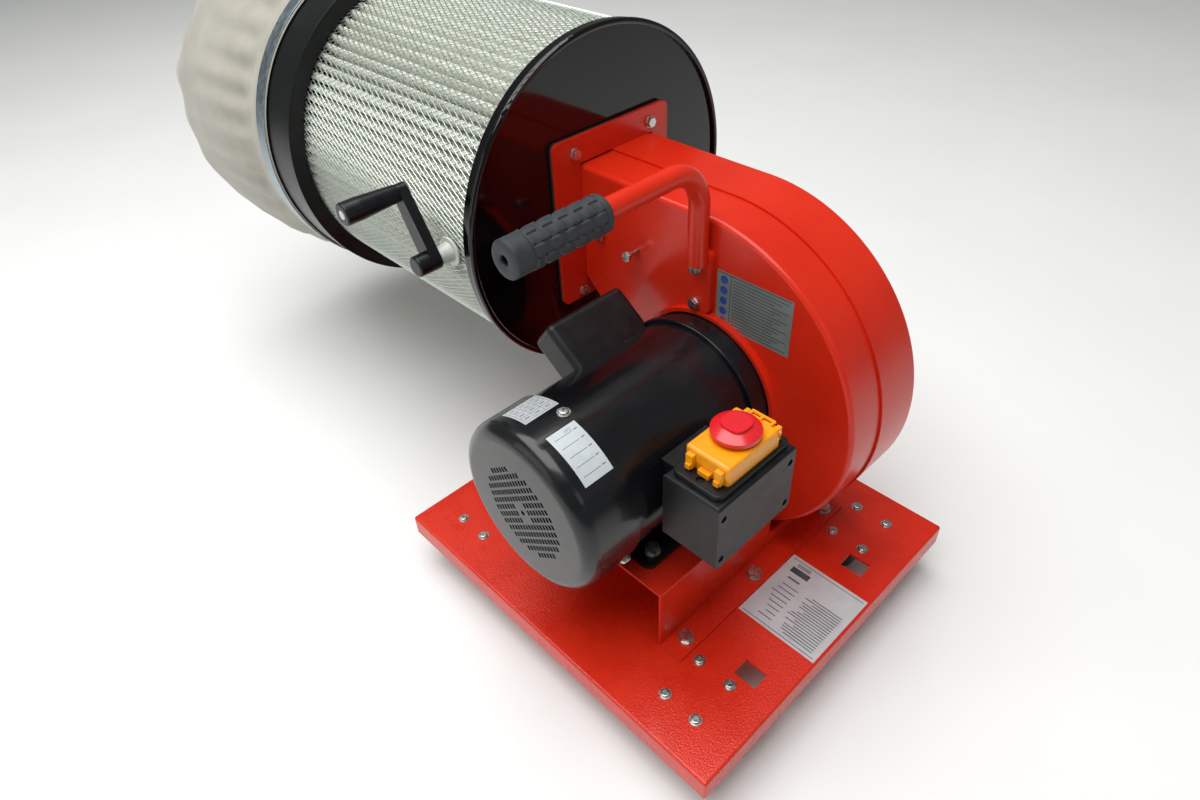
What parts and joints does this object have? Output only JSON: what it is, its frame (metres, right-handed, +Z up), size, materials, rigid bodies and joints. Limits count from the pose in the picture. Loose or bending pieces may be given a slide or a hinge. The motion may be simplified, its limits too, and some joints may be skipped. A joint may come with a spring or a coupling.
{
  "type": "dust collector",
  "caption": "Mobile dust collector: electric motor and scroll blower on a castor plate, blowing into a level cartridge filter drum with a hand-cranked cleaner and a strapped dust bag.",
  "frame": {"origin": "middle of the whole machine's bounding box, at the floor the castors stand on", "axes": "+Z up; +Y along the filter drum, from the blower towards the bag; +X along the motor shaft, from the fan end towards the hose inlet"},
  "size_m": [0.5152, 1.099, 0.5972],
  "materials": {
    "red_powder_coat": "satin orange-peel powder coat on sheet steel",
    "black_enamel": "semi-gloss enamel on steel",
    "black_gloss_coat": "gloss powder coat on sheet steel",
    "zinc_steel": "bright zinc-plated steel",
    "bare_steel": "machined steel",
    "cast_aluminium": "die-cast, painted black outside",
    "electrical_steel": "stacked laminations",
    "copper_winding": "varnished copper wire",
    "black_rubber": "moulded rubber",
    "grey_tread": "moulded rubber tyre on a nylon wheel",
    "black_plastic": "moulded, fine texture",
    "yellow_plastic": "moulded, satin gloss",
    "red_plastic": "moulded, satin gloss",
    "green_plastic": "moulded, satin gloss",
    "white_nylon": "natural nylon, slightly translucent",
    "grip_plastic": "moulded, satin gloss",
    "capacitor_can": "drawn can",
    "expanded_steel": "galvanised expanded sheet",
    "filter_paper": "pleated polyester filter felt",
    "strap_steel": "galvanised strip",
    "bag_fabric": "woven filter cloth"
  },
  "bodies": {
    "machine": {"base_plate": "red_powder_coat", "motor_bracket": "red_powder_coat", "volute_front_shell": "red_powder_coat", "volute_back_shell": "red_powder_coat", "outlet_flange": "red_powder_coat", "inlet_spigot": "red_powder_coat", "carry_handle": "red_powder_coat", "motor_body": "black_enamel", "fan_cover": "black_enamel", "front_end_bell": "black_enamel", "motor_foot": "black_enamel", "rear_end_bell": "cast_aluminium", "drum_end_plate": "black_gloss_coat", "drum_end_ring": "black_gloss_coat", "castor_plates": "zinc_steel", "castor_screws": "zinc_steel", "frame_bolts": "zinc_steel", "housing_bolts": "zinc_steel", "cover_screws": "zinc_steel", "switch_screws": "zinc_steel", "motor_bearings": "bare_steel", "stator_core": "electrical_steel", "stator_windings": "copper_winding", "handle_grip": "black_rubber", "flange_gasket": "black_rubber", "capacitor_cover": "black_plastic", "run_capacitor": "capacitor_can", "switch_box": "black_plastic", "switch_panel": "black_plastic", "switch_saddle": "black_plastic", "cable_gland": "black_plastic", "switch_frame": "yellow_plastic", "crank_bushing": "white_nylon", "drum_mesh": "expanded_steel", "pleated_filter": "filter_paper", "bag_strap": "strap_steel", "dust_bag": "bag_fabric"},
    "rotor": {"motor_rotor": "electrical_steel", "cooling_fan": "black_plastic", "impeller": "bare_steel", "impeller_bolt": "zinc_steel"},
    "crank": {"crank_shaft": "bare_steel", "crank_arm": "grip_plastic", "crank_spindle": "zinc_steel"},
    "crank_handle": {"crank_grip": "grip_plastic"},
    "agitator": {"agitator_shaft": "bare_steel", "agitator_flaps": "black_rubber"},
    "latch": {"strap_latch": "zinc_steel"},
    "lid": {"switch_lid": "yellow_plastic"},
    "mushroom": {"stop_mushroom": "red_plastic"},
    "start": {"start_button": "green_plastic"},
    "stop": {"stop_button": "red_plastic"},
    "fork_front_left": {"castor_fork_front_left": "zinc_steel"},
    "wheel_front_left": {"castor_wheel_front_left": "grey_tread"},
    "fork_front_right": {"castor_fork_front_right": "zinc_steel"},
    "wheel_front_right": {"castor_wheel_front_right": "grey_tread"},
    "fork_rear_left": {"castor_fork_rear_left": "zinc_steel"},
    "wheel_rear_left": {"castor_wheel_rear_left": "grey_tread"},
    "fork_rear_right": {"castor_fork_rear_right": "zinc_steel"},
    "wheel_rear_right": {"castor_wheel_rear_right": "grey_tread"}
  },
  "joints": [
    {"name": "rotor_spin", "type": "hinge", "parent": "machine", "child": "rotor", "pos_m": [-0.05765, -0.3245, 0.247], "axis": [1, 0, 0], "continuous": true},
    {"name": "crank_turn", "type": "hinge", "parent": "machine", "child": "crank", "pos_m": [-0.15765, -0.0995, 0.38], "axis": [1, 0, 0], "continuous": true},
    {"name": "crank_grip_spin", "type": "hinge", "parent": "crank", "child": "crank_handle", "pos_m": [-0.20765, -0.06459, 0.44297], "axis": [1, 0, 0], "continuous": true},
    {"name": "agitator_turn", "type": "hinge", "parent": "machine", "child": "agitator", "pos_m": [0.04035, 0.0505, 0.38], "axis": [0, 1, 0], "continuous": true},
    {"name": "strap_latch_open", "type": "hinge", "parent": "machine", "child": "latch", "pos_m": [0.25035, 0.2595, 0.395], "axis": [0, -1, 0], "range_deg": [0, 110]},
    {"name": "lid_open", "type": "hinge", "parent": "machine", "child": "lid", "pos_m": [-0.07965, -0.449, 0.319], "axis": [0, 1, 0], "range_deg": [0, 100]},
    {"name": "mushroom_press", "type": "slide", "parent": "lid", "child": "mushroom", "axis": [0, 0, -1], "range_m": [0, 0.003], "stiffness_N_per_m": 400, "springref_m": -0.001},
    {"name": "start_press", "type": "slide", "parent": "machine", "child": "start", "axis": [0, 0, -1], "range_m": [0, 0.003], "stiffness_N_per_m": 400, "springref_m": -0.001},
    {"name": "stop_press", "type": "slide", "parent": "machine", "child": "stop", "axis": [0, 0, -1], "range_m": [0, 0.003], "stiffness_N_per_m": 400, "springref_m": -0.001},
    {"name": "castor_swivel_front_left", "type": "hinge", "parent": "machine", "child": "fork_front_left", "pos_m": [-0.19265, -0.4845, 0.051], "axis": [0, 0, 1], "continuous": true},
    {"name": "wheel_roll_front_left", "type": "hinge", "parent": "fork_front_left", "child": "wheel_front_left", "pos_m": [-0.19265, -0.4645, 0.025], "axis": [1, 0, 0], "continuous": true},
    {"name": "castor_swivel_front_right", "type": "hinge", "parent": "machine", "child": "fork_front_right", "pos_m": [0.08735, -0.4845, 0.051], "axis": [0, 0, 1], "continuous": true},
    {"name": "wheel_roll_front_right", "type": "hinge", "parent": "fork_front_right", "child": "wheel_front_right", "pos_m": [0.08735, -0.4645, 0.025], "axis": [1, 0, 0], "continuous": true},
    {"name": "castor_swivel_rear_left", "type": "hinge", "parent": "machine", "child": "fork_rear_left", "pos_m": [-0.19265, -0.1645, 0.051], "axis": [0, 0, 1], "continuous": true},
    {"name": "wheel_roll_rear_left", "type": "hinge", "parent": "fork_rear_left", "child": "wheel_rear_left", "pos_m": [-0.19265, -0.1445, 0.025], "axis": [1, 0, 0], "continuous": true},
    {"name": "castor_swivel_rear_right", "type": "hinge", "parent": "machine", "child": "fork_rear_right", "pos_m": [0.08735, -0.1645, 0.051], "axis": [0, 0, 1], "continuous": true},
    {"name": "wheel_roll_rear_right", "type": "hinge", "parent": "fork_rear_right", "child": "wheel_rear_right", "pos_m": [0.08735, -0.1445, 0.025], "axis": [1, 0, 0], "continuous": true}
  ],
  "couplings": [
    {"joint": "agitator_turn", "follows": "crank_turn", "ratio": 1},
    {"joint": "stop_press", "follows": "mushroom_press", "ratio": 1}
  ]
}
